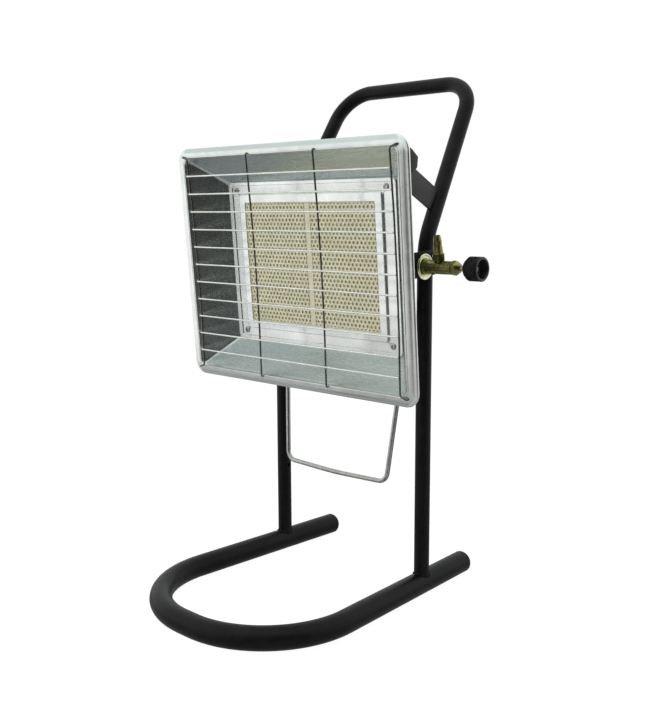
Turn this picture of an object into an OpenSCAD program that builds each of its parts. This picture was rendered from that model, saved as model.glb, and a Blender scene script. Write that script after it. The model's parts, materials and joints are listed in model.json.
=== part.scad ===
// Portable propane radiant heater: a tubular floor stand that carries a tilting burner head.
// Millimetres. +Z up, -Y is the side that radiates heat, +X is the gas valve's side.

/* [Floor tube] */
// Outer diameter of the U-shaped floor tube
base_d = 25; // [20:1:32]
// Wall thickness of the floor tube
base_wall = 1.5; // [1:0.1:2.5]
// Distance from the uprights to the front run of the floor tube
base_front = 247.4; // [210:1:300]
// Distance from the uprights to the rear ends of the floor tube
base_rear = 84; // [60:1:110]
// Centreline radius of the two front bends
base_bend_r = 107; // [80:1:110]
// Sideways spread of each arm for each millimetre forward
base_splay = 0.047; // [0:0.001:0.08]
// How far the rounded end plugs stand out of the floor tube
plug_dome = 8; // [3:0.5:11]
// Length of the plug's spigot inside the tube
plug_spigot = 14; // [8:1:25]

/* [Uprights and handle] */
// Outer diameter of the bent upright tube
frame_d = 17; // [14:0.5:18]
// Wall thickness of the upright tube
frame_wall = 1.5; // [1:0.1:2.5]
// Distance between the two uprights, centre to centre
upright_gap = 218; // [210:1:240]
// Height of the corner where the uprights start to lean back
knee_z = 394; // [370:1:430]
// Angle that the upper part leans back
lean = 31; // [20:1:40]
// Length of the leaning part, from the knee to the handle's corner, seen from the side
lean_len = 206.4; // [180:0.2:240]
// Length of the handle between its two corners
handle_len = 190.6; // [150:0.2:200]
// Bend radius at the knee, on the centreline
knee_bend_r = 70; // [40:1:90]
// Bend radius at the handle's corners, on the centreline
handle_bend_r = 41; // [30:1:60]
// Diameter of the vent hole in the inner side of each upright
vent_d = 4.5; // [3:0.5:6]
// Height of the vent holes above the floor
vent_z = 111; // [60:1:160]

/* [Straps and pivots] */
// Distance up the leaning part from the knee to the middle of each strap
strap_up = 47.93; // [44:0.01:50]
// Angle that the straps rise towards the front
strap_rise = 27.5; // [24:0.5:28.5]
// Distance along each strap from the leaning tube's centreline to the head's pivot
strap_len = 78.97; // [78.5:0.01:90]
// How far the pivot lies above the strap's own centreline
pivot_offset = 6.2; // [5:0.1:7]
// Width of each strap
strap_w = 25.3; // [20:0.1:30]
// Thickness of each strap
strap_t = 3; // [2:0.5:4]
// Diameter of the pivot bolts
pivot_d = 8; // [6:1:10]
// Diameter of the washers on the pivot bolts
pivot_washer_d = 22; // [18:1:24]
// Thickness of the washers on the pivot bolts
pivot_washer_t = 1.2; // [0.8:0.1:2]
// Corner-to-corner size of the clamp knobs
clamp_knob_d = 27.6; // [25:0.2:34]
// Thickness of the clamp knobs
clamp_knob_t = 15; // [11:0.5:17]
// Depth of the bevel round the clamp knobs' outer face
clamp_bevel = 4; // [1:0.5:5]
// Angle of the clamp knobs' first corner at rest
clamp_turn = 19; // [0:1:59]
// Thickness of the ears on the head
ear_t = 2; // [1.5:0.1:3]
// Length of each ear's foot on the back of the burner
ear_foot = 33; // [28:0.5:40]

/* [Reflector] */
// Overall width of the reflector's rim
rim_w = 339.6; // [325:0.2:360]
// Overall height of the reflector's rim
rim_h = 266; // [255:1:280]
// Outer corner radius of the rim
rim_corner_r = 16; // [12:1:24]
// Width of the flat band at the sides of the rim
band_x = 12.6; // [10:0.1:15]
// Width of the flat band at the top and bottom of the rim
band_z = 10.6; // [9:0.1:13]
// Radius of the rolled bead round the rim
bead_r = 1.7; // [1:0.1:2.5]
// Sheet thickness of the reflector
sheet = 1.2; // [0.8:0.1:1.6]
// Depth of the reflector from its band to its floor
dish_depth = 38.7; // [32:0.1:44]
// Width of the reflector's floor
floor_w = 250.4; // [246:0.2:262]
// Height of the reflector's floor
floor_h = 183.6; // [180:0.2:190]
// How far the head's top leans forward at rest
head_lean = 4.5; // [0:0.5:8]
// Distance of the pivots behind the rim
pivot_back = 64.9; // [60:0.1:75]
// Height of the pivots above the middle of the head
pivot_up = 106.4; // [98:0.1:112]

/* [Guard] */
// Diameter of the guard's upright wires
guard_upright_d = 2; // [1.6:0.1:3]
// Diameter of the guard's cross wires
guard_cross_d = 2; // [1.5:0.1:2.6]
// Number of cross wires
guard_cross_n = 11; // [7:1:13]
// Spacing of the cross wires
guard_pitch = 20.4; // [15:0.1:20.6]
// Distance from each outer upright wire to its hooks, which sit nearer the rim's edge
guard_side = 8.3; // [7.6:0.1:17]
// How deep the upright wires bow towards the burner
guard_bow = 3.4; // [1:0.1:6]
// Gap between the ends of the upright wires and the rim
guard_lift = 1.2; // [0.2:0.1:2.5]

/* [Burner] */
// Margin between the window over the plaques and the sides of the reflector's floor
window_margin_x = 27.6; // [26:0.1:32]
// Margin between the window over the plaques and the top and bottom of the reflector's floor
window_margin_z = 23.3; // [22:0.1:26]
// Width of the blank joint between the two plaques
seam_w = 0.5; // [0.5:0.1:3]
// Thickness of the ceramic plaques
plaque_t = 13; // [10:0.5:14]
// How far the bezel covers the edge of the plaques
plaque_cover = 2.3; // [1.5:0.1:3]
// Thickness of the fibre gasket behind the plaques
gasket_t = 2; // [1:0.1:3]
// Sheet thickness of the bezel
bezel_t = 1; // [0.8:0.1:1.4]
// Height of the bezel's raised window frame above its screw channel
bezel_step = 2.8; // [2.2:0.1:3.5]
// Width of the bezel's raised window frame
window_frame = 9.4; // [8:0.1:9.8]
// Distance of the bezel screws from the sides of the reflector's floor
screw_inset_x = 13.5; // [12.2:0.1:14.2]
// Distance of the bezel screws from the top and bottom of the reflector's floor
screw_inset_z = 9.8; // [9.2:0.1:10.4]
// Diameter of the bezel screws
screw_d = 4; // [3:0.5:4]
// Depth of the mixing chamber behind the plaques
chamber_depth = 14; // [10:0.5:18]
// Outer diameter of the mixing tube
mix_d = 26; // [20:1:27]
// Wall thickness of the mixing tube
mix_wall = 1.2; // [0.8:0.1:2]

/* [Gas valve] */
// Distance of the valve's axis behind the rim
valve_back = 81.8; // [81.5:0.1:90]
// Height of the valve's axis above the middle of the head
valve_up = -3.5; // [-10:0.5:6]
// Distance from the head's middle to the outer face of the valve plate
valve_x = 120.7; // [120.3:0.1:130]
// Height of the valve plate
plate_side = 27; // [26:0.2:30]
// How far the middle of the valve plate lies above the valve's axis
plate_up = 2.7; // [0:0.1:4]
// Distance from the valve's axis to the rear edge of its plate
plate_rear = 19; // [18:0.5:24]
// Thickness of the valve bracket
bracket_t = 2; // [1.5:0.1:2.4]
// Diameter of the dished seat washer
seat_d = 27.4; // [24:0.2:30]
// Diameter of the valve's shoulder
shoulder_d = 17; // [15:0.2:19]
// Diameter of the valve's body
valve_d = 14.2; // [13:0.1:16]
// Length of the valve's body beyond the seat washer, without its gland nut
valve_len = 35.2; // [32:0.2:45]
// Distance from the valve plate to the hose nipple's axis
inlet_x = 20.3; // [18:0.1:24]
// Angle that the nipple leans forward from the head's up direction
inlet_lean = 5; // [-20:0.5:40]
// Height of the nipple's tip above the valve's axis
inlet_len = 33.5; // [31:0.5:45]
// Radius of the hose nipple's plain nose
hose_land_r = 4.3; // [3.5:0.1:4.6]
// Diameter of the valve spindle
spindle_d = 5; // [4:0.5:6]
// Largest diameter of the gas knob
knob_d = 25.4; // [22:0.2:30]
// Length of the gas knob
knob_len = 20; // [17:0.5:24]
// Gap between the gland nut and the gas knob
knob_gap = 7; // [4:0.5:14]

/* [Bail] */
// Diameter of the bail's wire
bail_d = 5.5; // [4:0.5:6]
// Distance of the bail's pivots behind the rim
bail_back = 89.2; // [82:0.1:92]
// Distance of the bail's pivots below the middle of the head
bail_down = 50; // [40:0.5:54]
// Distance from the pivots down to the bail's cross bar
bail_drop = 196; // [150:0.5:220]
// Angle that the bail's bar hangs forward of its pivots at rest
bail_rest = 5.3; // [0:0.05:8]
// Width of the bail at its pivots, centre to centre
bail_top_w = 189; // [186:0.5:192]
// Width of the bail at its cross bar, centre to centre
bail_bottom_w = 153.4; // [130:0.2:170]
// How far the middle of the bail's cross bar sags
bail_bow = 2.4; // [0.5:0.1:4]

/* [Hidden] */
$fn = 64;
run_fit = 0.06;                     // radial clearance where one piece turns in another
joint_gap = 0.2;                    // side clearance between pieces that turn past each other
seat_gap = 0.3;                     // clearance round pieces that only rest in a pocket
hull_fn = 32;
bend_lap = 0.5;                     // how far each bend of a bar is let into its straights
bend_ease = 0.06;                   // a bent bar is this much thinner in its bends
bend_seam = 37;                     // turns a bend's seam away from its straights' seams
function lap_angle(r) = min(bend_lap, sqrt(r * bend_ease) / 2) / r * 180 / PI;

// Stand
upright_x = upright_gap / 2;
frame_r = frame_d / 2;
knee = [upright_x, 0, knee_z];
handle_corner = [handle_len / 2, lean_len * sin(lean), knee_z + lean_len * cos(lean)];
base_front_x = upright_x + base_splay * base_front;
base_rear_x = upright_x - base_splay * base_rear;
arm_dir = [-base_splay, 1, 0] / norm([base_splay, 1, 0]);
base_corner = [base_front_x, -base_front, base_d / 2];
base_end = [base_rear_x, base_rear, base_d / 2];

// Pivot of the head, seen from the side as [y, z]
strap_x = upright_x - (upright_x - handle_len / 2) * strap_up / lean_len;
strap_root = [strap_up * sin(lean), knee_z + strap_up * cos(lean)];
pivot_y = strap_root[0] - strap_len * cos(strap_rise) + pivot_offset * sin(strap_rise);
pivot_z = strap_root[1] + strap_len * sin(strap_rise) + pivot_offset * cos(strap_rise);
pivot_r = pivot_d / 2;

// Stack of pieces on each pivot bolt, outwards along X
friction_x = strap_x - strap_t / 2 - joint_gap - pivot_washer_t;
ear_x = friction_x - ear_t;
washer_x = strap_x + strap_t / 2 + joint_gap;
clamp_x = washer_x + pivot_washer_t + joint_gap;
bolt_head_t = 3.5;
bolt_head_d = 2 * pivot_d;
bolt_end_x = clamp_x + clamp_knob_t - 3;
insert_d = pivot_d + 6;
insert_len = clamp_knob_t - 4;

// Head frame: the rim's middle is [0, 0, 0], Y is depth behind the rim, Z is up
head_y = pivot_y - pivot_back * cos(head_lean) + pivot_up * sin(head_lean);
head_z = pivot_z - pivot_back * sin(head_lean) - pivot_up * cos(head_lean);
band_front = -1.5;
inner_w = rim_w - 2 * band_x;
inner_h = rim_h - 2 * band_z;
inner_r = 9;
floor_r = 5.6;
floor_y = band_front + dish_depth;
dish_slope_x = (inner_w - floor_w) / 2 / dish_depth;
dish_slope_z = (inner_h - floor_h) / 2 / dish_depth;

// Window, from the floor that it is set in
window_w = floor_w - 2 * window_margin_x;
window_h = floor_h - 2 * window_margin_z;

// Bezel
channel_y = floor_y - bezel_t;      // front of the screw channel
frame_y = channel_y - bezel_step;   // front of the raised window frame
lip_rise = 1.4;
bezel_edge_y = channel_y - lip_rise;
bezel_w = floor_w - 2 * seat_gap;
bezel_h = floor_h - 2 * seat_gap;
bezel_r = floor_r - seat_gap;
lip_x = 6;
lip_z = 3.4;
frame_w = window_w + 2 * window_frame;
frame_h = window_h + 2 * window_frame;

// Plaques, gasket and pan
plaque_y = frame_y + bezel_t + seat_gap;
plaques_w = window_w + 2 * plaque_cover;
plaques_h = window_h + 2 * plaque_cover;
pan_t = 1.2;
pan_in_w = plaques_w + 2 * seat_gap;
pan_in_h = plaques_h + 2 * seat_gap;
flange_y = floor_y + sheet;
ledge = 8.5;
ledge_y = plaque_y + plaque_t + gasket_t;
chamber_w = pan_in_w - 2 * ledge;
chamber_h = pan_in_h - 2 * ledge;
chamber_y = ledge_y + pan_t;
pan_back = chamber_y + chamber_depth + pan_t;
plaque_r = 1;
pan_r = plaque_r + seat_gap;
chamber_r = 5;
pan_side = pan_in_w / 2 + pan_t;
pan_top = pan_in_h / 2 + pan_t;

// Screws of the bezel
screw_x = floor_w / 2 - screw_inset_x;
screw_z = floor_h / 2 - screw_inset_z;
flange_over_x = 6.5;
flange_over_z = 5.5;
flange_w = 2 * (screw_x + flange_over_x);
flange_h = 2 * (screw_z + flange_over_z);
ear_y = flange_y + pan_t;
nut_t = 3.2;
nut_d = 2 * screw_d;
screw_head_t = 2.2;
screw_head_d = 1.9 * screw_d;
ear_over = 7;
ear_high = screw_z + ear_over;
ear_low = ear_high - ear_foot;
ear_edge = screw_x + ear_over;
ear_base_low = max(ear_low, pan_top + seat_gap);
rivet_gap = 16;
rivet_z = screw_z - rivet_gap;
rivet_d = 4;
rivet_head_d = 7;
rivet_head_t = 1.4;

// Baffle and mixing tube
baffle_t = 1;
baffle_y = chamber_y + chamber_depth / 2;
neck_x = -30;
neck_d = 22;
mix_start = ear_x - 5;
mix_tail = 20;
mix_end = neck_x - mix_tail;
neck_flange_d = 36;
neck_flange_t = 1.2;

// Valve bracket
plate_t = 2.5;
plate_x = valve_x - plate_t;
plate_low = valve_up + plate_up - plate_side / 2;
plate_screw_d = 2.5;
plate_screw_y = valve_back + plate_rear - 3.3;
plate_screw_z = plate_low + plate_side - 6.4;
foot_x = 64;
foot_w = 14;
foot_h = 58;
bracket_screw_z = 21;

// Valve
seat_t = 2;
seat_hub_d = shoulder_d + 3;
shoulder_x = valve_x + seat_t;
shoulder_len = 4.3;
gland_x = shoulder_x + valve_len;
gland_len = 9;
gland_d = 15.6;
gland_cone = 5;
gland_tip_d = 8.6;
knob_x = gland_x + gland_len + knob_gap;
knob_end = knob_x + knob_len;
recess_d = 0.76 * knob_d;
recess_len = 9;
screw_seat_x = knob_end - recess_len;
thread_d = 9.6;
jet_shoulder_d = 14;
nipple_x = valve_x + inlet_x;
inlet_hex_d = 13.4;
inlet_hex_h = 7;
barb_pitch = 2.6;
nose_taper = 5;

// Bail
bail_pivot_y = head_y + bail_back * cos(head_lean) + bail_down * sin(head_lean);
bail_pivot_z = head_z + bail_back * sin(head_lean) - bail_down * cos(head_lean);
bail_bar_y = bail_pivot_y - bail_drop * sin(bail_rest);
bail_bar_z = bail_pivot_z - bail_drop * cos(bail_rest);
lug_t = 2;
lug_foot = 14;
lug_foot_t = 1.5;
lug_h = 16;
bail_hook = 4;
bail_knee = 5.4;
bail_hook_r = 5;
bail_corner_r = 12;
bail_bow_r = 500;
lug_x = bail_top_w / 2 - bail_d / 2 - bail_knee;
bail_end_x = lug_x - bail_hook;
lug_end = bail_back + bail_d / 2 + 3.5;
lug_rivet_x = lug_x - lug_t - (lug_foot - lug_t) / 2;

// The drawing's origin is the middle of the overall box, on the floor
span_x = [-rim_w / 2, knob_end];
span_y = [-base_front - base_d / 2, handle_corner[1] + frame_r];
centre_x = (span_x[0] + span_x[1]) / 2;
centre_y = (span_y[0] + span_y[1]) / 2;

// ---- places ----

module in_frame() translate([-centre_x, -centre_y, 0]) children();

module on_head() in_frame() translate([0, head_y, head_z]) rotate([head_lean, 0, 0]) children();

// Both sides of the head or stand, from one drawn on the +X side
module both_sides() {
    children();
    mirror([1, 0, 0]) children();
}

// Stands children, drawn along +Z, on point p along direction v
module along(p, v) translate(p) rotate([0, acos(v[2] / norm(v)), atan2(v[1], v[0])]) children();

// ---- shapes ----

module rounded_rect(w, h, r) {
    square([w - 2 * r, h], center = true);
    square([w, h - 2 * r], center = true);
    for (x = [-1, 1], z = [-1, 1])
        translate([x * (w / 2 - r), z * (h / 2 - r)]) circle(r);
}

// Flat plate that faces the room, from depth y0 to y0 + t
module slab(w, h, r, y0, t) translate([0, y0 + t, 0]) rotate([90, 0, 0])
    linear_extrude(t) rounded_rect(w, h, r);

// Frame-shaped plate with a rounded opening
module ring_slab(w, h, r, in_w, in_h, in_r, y0, t) difference() {
    slab(w, h, r, y0, t);
    slab(in_w, in_h, in_r, y0 - 1, t + 2);
}

// Round bead along the edge of a rounded rectangle
module bead_ring(w, h, r, y0, bead) {
    for (s = [-1, 1]) {
        translate([0, y0, s * h / 2]) rotate([0, 90, 0]) cylinder(h = w - 2 * r, r = bead, center = true);
        translate([s * w / 2, y0, 0]) cylinder(h = h - 2 * r, r = bead, center = true);
    }
    for (k = [0 : 3]) {
        x = (k == 0 || k == 3 ? 1 : -1) * (w / 2 - r);
        z = (k < 2 ? 1 : -1) * (h / 2 - r);
        translate([x, y0, z]) rotate([90, 0, 0]) rotate([0, 0, 90 * k - lap_angle(r)])
            rotate_extrude(angle = 90 + 2 * lap_angle(r)) translate([r, 0]) circle(bead - bend_ease / 2);
    }
}

// Depth-wise cylinder at [x, z] from y0 to y1
module depth_rod(x, z, y0, y1, d) translate([x, y1, z]) rotate([90, 0, 0]) cylinder(h = y1 - y0, d = d);

// Sideways cylinder at [y, z] from x0 to x1
module side_rod(y, z, x0, x1, d) translate([x0, y, z]) rotate([0, 90, 0]) cylinder(h = x1 - x0, d = d);

function unit(v) = v / norm(v);
function turn_at(p, i) = acos(unit(p[i] - p[i - 1]) * unit(p[i + 1] - p[i]));
function setback(p, r, i) = i == 0 || i == len(p) - 1 ? 0 : r[i] * tan(turn_at(p, i) / 2);

// One bend of a round bar at corner i of the path p, let into both straights by bend_lap
module bar_bend(p, r, i, d) {
    ahead = unit(p[i] - p[i - 1]);
    axis = unit(cross(ahead, unit(p[i + 1] - p[i])));
    inwards = cross(axis, ahead);
    c = p[i] - ahead * setback(p, r, i) + inwards * r[i];
    multmatrix([[-inwards[0], ahead[0], axis[0], c[0]],
                [-inwards[1], ahead[1], axis[1], c[1]],
                [-inwards[2], ahead[2], axis[2], c[2]],
                [0, 0, 0, 1]])
        rotate([0, 0, -lap_angle(r[i])]) rotate_extrude(angle = turn_at(p, i) + 2 * lap_angle(r[i]))
            translate([r[i], 0]) rotate(bend_seam) circle(d = d - bend_ease);
}

// Round bar through corner points p, with bend radius r[i] at each inner corner
module bar_path(p, r, d) {
    for (i = [0 : len(p) - 2]) {
        v = unit(p[i + 1] - p[i]);
        a = p[i] + v * setback(p, r, i);
        b = p[i + 1] - v * setback(p, r, i + 1);
        along(a, v) cylinder(h = norm(b - a), d = d);
    }
    for (i = [1 : len(p) - 2]) bar_bend(p, r, i, d);
}

function flip(p) = [-p[0], p[1], p[2]];

// ---- stand ----

module base_bar(d, over) {
    end = base_end + arm_dir * over;
    bar_path([end, base_corner, flip(base_corner), flip(end)], [0, base_bend_r, base_bend_r, 0], d);
}

module base_tube() color("#1d1f20") in_frame() difference() {
    base_bar(base_d, 0);
    base_bar(base_d - 2 * base_wall, 1);
}

module end_plug() {
    cap_r = (pow(base_d / 2, 2) + pow(plug_dome, 2)) / 2 / plug_dome;
    along(base_end, arm_dir) {
        intersection() {
            translate([0, 0, plug_dome - cap_r]) sphere(cap_r);
            cylinder(h = plug_dome + 1, d = base_d);
        }
        translate([0, 0, -plug_spigot]) cylinder(h = plug_spigot, d = base_d - 2 * base_wall);
    }
}

module end_plugs() color("#161718") in_frame() both_sides() end_plug();

module upright_bar(d, foot_z) {
    foot = [upright_x, 0, foot_z];
    bar_path([foot, knee, handle_corner, flip(handle_corner), flip(knee), flip(foot)],
        [0, knee_bend_r, handle_bend_r, handle_bend_r, knee_bend_r, 0], d);
}

// The bottom of each upright is coped to the round of the floor tube
module upright_tube() color("#1d1f20") in_frame() difference() {
    upright_bar(frame_d, base_d / 2);
    upright_bar(frame_d - 2 * frame_wall, 0);
    both_sides() {
        along(base_corner, arm_dir) cylinder(h = base_front + base_rear, d = base_d);
        side_rod(0, vent_z, upright_x - frame_d, upright_x, vent_d);
    }
}

module strap() difference() {
    translate([strap_x - strap_t / 2, strap_root[0], strap_root[1]]) rotate([90, 0, 90])
        rotate([0, 0, 180 - strap_rise]) linear_extrude(strap_t) {
            translate([0, -strap_w / 2]) square([strap_len, strap_w]);
            translate([strap_len, 0]) circle(d = strap_w);
            translate([strap_len, -pivot_offset]) circle(d = pivot_washer_d + 2);
        }
    along(knee, handle_corner - knee) cylinder(h = lean_len, d = frame_d);
    side_rod(pivot_y, pivot_z, strap_x - strap_t, strap_x + strap_t, pivot_d + 2 * run_fit);
}

module right_strap() color("#303233") in_frame() strap();

module left_strap() color("#303233") in_frame() mirror([1, 0, 0]) strap();

// ---- reflector and guard ----

// Solid frustum with rounded corners that fills the dish, grown outwards by g
module dish_solid(g) hull() {
    slab(inner_w + 2 * g, inner_h + 2 * g, inner_r + g, band_front - (g > 0 ? 0 : 1), 1, $fn = hull_fn);
    slab(floor_w + 2 * g, floor_h + 2 * g, floor_r + g, floor_y + (g > 0 ? sheet : 0) - 1, 1, $fn = hull_fn);
}

hook_x = rim_w / 2 - 11.5;
guard_upright_pitch = (hook_x - guard_side) / 1.5;
hook_z = rim_h / 2 - 9;
hook_hole = guard_upright_d + 2 * seat_gap;
hook_len = guard_upright_d / 2 + guard_lift + sheet + 3;
hook_r = guard_upright_d / 2 + 0.8;
wire_bend_r = 3.5;
cross_over = 0.4;                   // how far the cross wires reach past the outer uprights' centres

module reflector() color("#b9bdbc") on_head() difference() {
    union() {
        bead_ring(rim_w - 2 * bead_r, rim_h - 2 * bead_r, rim_corner_r - bead_r, 0, bead_r);
        ring_slab(rim_w - 2 * bead_r, rim_h - 2 * bead_r, rim_corner_r - bead_r,
            inner_w, inner_h, inner_r, band_front, sheet);
        difference() {
            dish_solid(sheet);
            dish_solid(0);
        }
    }
    slab(pan_in_w, pan_in_h, pan_r, floor_y - 2, sheet + 4);
    for (x = [-1, 1], z = [-1, 1]) {
        depth_rod(x * screw_x, z * screw_z, floor_y - 2, floor_y + 4, screw_d + 0.4);
        depth_rod(x * hook_x, z * hook_z, band_front - 1, band_front + 5, hook_hole);
    }
    for (x = [-1, 1], z = [-1, 1])
        depth_rod(x * guard_upright_pitch / 2, z * hook_z, band_front - 1, band_front + 5, hook_hole);
}

guard_y = band_front - guard_upright_d / 2 - guard_lift;    // depth of the wires at the rim
guard_turn = inner_h / 2 - 1.2;       // where the wires turn towards their holes in the band
function bow_y(t) = guard_y + guard_bow * (1 - t * t);
function wire_y(z) = lookup(abs(z) / guard_turn, [for (t = [0 : 0.5 : 1]) [t, bow_y(t * guard_turn / hook_z)]]);

// Upright wire at x, bowed towards the burner, with both ends hooked through the band at hook
module guard_wire(x, hook) {
    upper = concat([for (t = [0 : 0.5 : 1]) [x, wire_y(t * guard_turn), t * guard_turn]],
        [[hook, guard_y, hook_z], [hook, guard_y + hook_len, hook_z]]);
    n = len(upper);
    p = concat([for (i = [n - 1 : -1 : 1]) [upper[i][0], upper[i][1], -upper[i][2]]], upper);
    bar_path(p, [for (q = p) abs(q[2]) > hook_z - 1 ? hook_r : wire_bend_r], guard_upright_d);
}

module guard_uprights() color("#3c3f40") on_head() both_sides() {
    guard_wire(guard_upright_pitch / 2, guard_upright_pitch / 2);
    guard_wire(1.5 * guard_upright_pitch, hook_x);
}

module guard_crosswires() color("#d5d8d8") on_head() {
    half = 1.5 * guard_upright_pitch + cross_over;
    for (i = [0 : guard_cross_n - 1]) {
        z = (i - (guard_cross_n - 1) / 2) * guard_pitch;
        side_rod(wire_y(z) - (guard_upright_d + guard_cross_d) / 2, z, -half, half, guard_cross_d);
    }
}

// ---- burner ----

module screw_holes(d, y0, y1) for (x = [-1, 1], z = [-1, 1])
    depth_rod(x * screw_x, z * screw_z, y0, y1, d);

module bezel() color("#cfd2d3") on_head() difference() {
    union() {
        ring_slab(bezel_w, bezel_h, bezel_r, window_w, window_h, 1, channel_y, bezel_t);
        ring_slab(bezel_w, bezel_h, bezel_r, bezel_w - 2 * lip_x, bezel_h - 2 * lip_z, bezel_r - lip_z,
            bezel_edge_y, lip_rise);
        ring_slab(frame_w, frame_h, 3, frame_w - 2 * bezel_t, frame_h - 2 * bezel_t, 2, frame_y, bezel_step);
        ring_slab(frame_w, frame_h, 3, window_w, window_h, 1, frame_y, bezel_t);
    }
    slab(frame_w - 2 * bezel_t, frame_h - 2 * bezel_t, 2, frame_y + bezel_t, bezel_step + bezel_t);
    screw_holes(screw_d + 0.4, bezel_edge_y - 1, channel_y + 3);
}

module bezel_screws() color("#8f9394") on_head() for (x = [-1, 1], z = [-1, 1])
    translate([x * screw_x, channel_y, z * screw_z]) rotate([-90, 0, 0]) {
        difference() {
            translate([0, 0, -screw_head_t]) cylinder(h = screw_head_t, d = screw_head_d);
            translate([0, 0, -screw_head_t - 1]) cylinder(h = 2, d = 2.2, $fn = 6);
        }
        cylinder(h = ear_y + ear_t + nut_t + 2 - channel_y, d = screw_d);
    }

module bezel_nuts() color("#8f9394") on_head() for (x = [-1, 1], z = [-1, 1]) {
    y0 = ear_y + (z > 0 ? ear_t : 0);
    difference() {
        translate([x * screw_x, y0 + nut_t, z * screw_z]) rotate([90, 0, 0])
            cylinder(h = nut_t, d = nut_d, $fn = 6);
        depth_rod(x * screw_x, z * screw_z, y0 - 1, y0 + nut_t + 1, screw_d);
    }
}

module plaque(side) {
    w = (plaques_w - seam_w) / 2;
    translate([side * (w + seam_w) / 2, 0, 0]) slab(w, plaques_h, plaque_r, plaque_y, plaque_t);
}

module left_plaque() color("#cbbf9c") on_head() plaque(-1);

module right_plaque() color("#cbbf9c") on_head() plaque(1);

module plaque_gasket() color("#e4e1d8") on_head()
    ring_slab(plaques_w, plaques_h, plaque_r, chamber_w, chamber_h, 3, plaque_y + plaque_t, gasket_t);

module burner_pan() color("#9ea3a4") on_head() difference() {
    union() {
        slab(flange_w, flange_h, 6, flange_y, pan_t);
        slab(pan_in_w + 2 * pan_t, pan_in_h + 2 * pan_t, pan_r + pan_t, flange_y, chamber_y - flange_y);
        slab(chamber_w + 2 * pan_t, chamber_h + 2 * pan_t, chamber_r, chamber_y, pan_back - chamber_y);
    }
    slab(pan_in_w, pan_in_h, pan_r, flange_y - 1, ledge_y - flange_y + 1);
    slab(chamber_w, chamber_h, chamber_r - pan_t, flange_y, pan_back - pan_t - flange_y);
    screw_holes(screw_d + 0.4, flange_y - 1, flange_y + 4);
    depth_rod(neck_x, valve_up, pan_back - 5, pan_back + 1, neck_d - 2 * mix_wall);
}

// Plate on four posts that spreads the gas over the back of the plaques
module baffle_plate() color("#8d9293") on_head() {
    slab(chamber_w * 0.8, chamber_h * 0.72, 4, baffle_y, baffle_t);
    for (x = [-1, 1], z = [-1, 1])
        depth_rod(x * chamber_w * 0.34, z * chamber_h * 0.28, baffle_y, pan_back - pan_t, 4);
}

module mixing_tube() color("#9ea3a4") on_head() difference() {
    union() {
        side_rod(valve_back, valve_up, mix_end, mix_start, mix_d);
        depth_rod(neck_x, valve_up, pan_back, valve_back, neck_d);
        depth_rod(neck_x, valve_up, pan_back, pan_back + neck_flange_t, neck_flange_d);
    }
    side_rod(valve_back, valve_up, mix_end + mix_wall, mix_start + 1, mix_d - 2 * mix_wall);
    depth_rod(neck_x, valve_up, pan_back - 1, valve_back, neck_d - 2 * mix_wall);
}

// ---- pivots ----

module ear() difference() {
    union() {
        translate([ear_x, 0, 0]) rotate([90, 0, 90]) linear_extrude(ear_t) hull() {
            translate([pivot_back, pivot_up]) circle(pivot_washer_d / 2 + 1, $fn = hull_fn);
            translate([ear_y, ear_base_low]) square([ear_t, ear_high - ear_base_low]);
        }
        translate([ear_x, ear_y, ear_base_low]) cube([ear_edge - ear_x, ear_t, ear_high - ear_base_low]);
        translate([pan_side + seat_gap, ear_y, ear_low])
            cube([ear_edge - pan_side - seat_gap, ear_t, ear_high - ear_low]);
    }
    side_rod(pivot_back, pivot_up, ear_x - 1, ear_x + ear_t + 1, pivot_d);
    depth_rod(screw_x, screw_z, ear_y - 1, ear_y + ear_t + 1, screw_d + 0.4);
    depth_rod(screw_x, rivet_z, ear_y - 1, ear_y + ear_t + 1, rivet_d);
}

module right_ear() color("#303233") on_head() ear();

module left_ear() color("#303233") on_head() mirror([1, 0, 0]) ear();

module ear_rivets() color("#8f9394") on_head() both_sides() {
    depth_rod(screw_x, rivet_z, ear_y, ear_y + ear_t, rivet_d);
    depth_rod(screw_x, rivet_z, ear_y + ear_t, ear_y + ear_t + rivet_head_t, rivet_head_d);
}

module pivot_bolt() {
    side_rod(pivot_back, pivot_up, ear_x - bolt_head_t, ear_x, bolt_head_d);
    side_rod(pivot_back, pivot_up, ear_x - 1, bolt_end_x, pivot_d);
}

module pivot_bolts() color("#8f9394") on_head() both_sides() pivot_bolt();

module pivot_washer(x) difference() {
    side_rod(pivot_back, pivot_up, x, x + pivot_washer_t, pivot_washer_d);
    side_rod(pivot_back, pivot_up, x - 1, x + pivot_washer_t + 1, pivot_d);
}

module friction_washers() color("#6b4a35") on_head() both_sides() pivot_washer(friction_x);

module knob_washers() color("#8f9394") on_head() both_sides() pivot_washer(washer_x);

// Six-sided hand knob with a bevelled outer face
module clamp_knob() difference() {
    translate([clamp_x, pivot_back, pivot_up]) rotate([clamp_turn, 0, 0]) rotate([90, 0, 90]) {
        cylinder(h = clamp_knob_t - clamp_bevel, d = clamp_knob_d, $fn = 6);
        translate([0, 0, clamp_knob_t - clamp_bevel])
            cylinder(h = clamp_bevel, d1 = clamp_knob_d, d2 = clamp_knob_d - 7, $fn = 6);
    }
    side_rod(pivot_back, pivot_up, clamp_x - 1, clamp_x + insert_len, insert_d);
    side_rod(pivot_back, pivot_up, clamp_x, bolt_end_x + 1, pivot_d + 2 * run_fit);
}

module knob_insert() difference() {
    side_rod(pivot_back, pivot_up, clamp_x, clamp_x + insert_len, insert_d);
    side_rod(pivot_back, pivot_up, clamp_x - 1, clamp_x + insert_len + 1, pivot_d + 2 * run_fit);
}

module right_clamp_knob() color("#222425") on_head() clamp_knob();

module left_clamp_knob() color("#222425") on_head() mirror([1, 0, 0]) clamp_knob();

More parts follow.
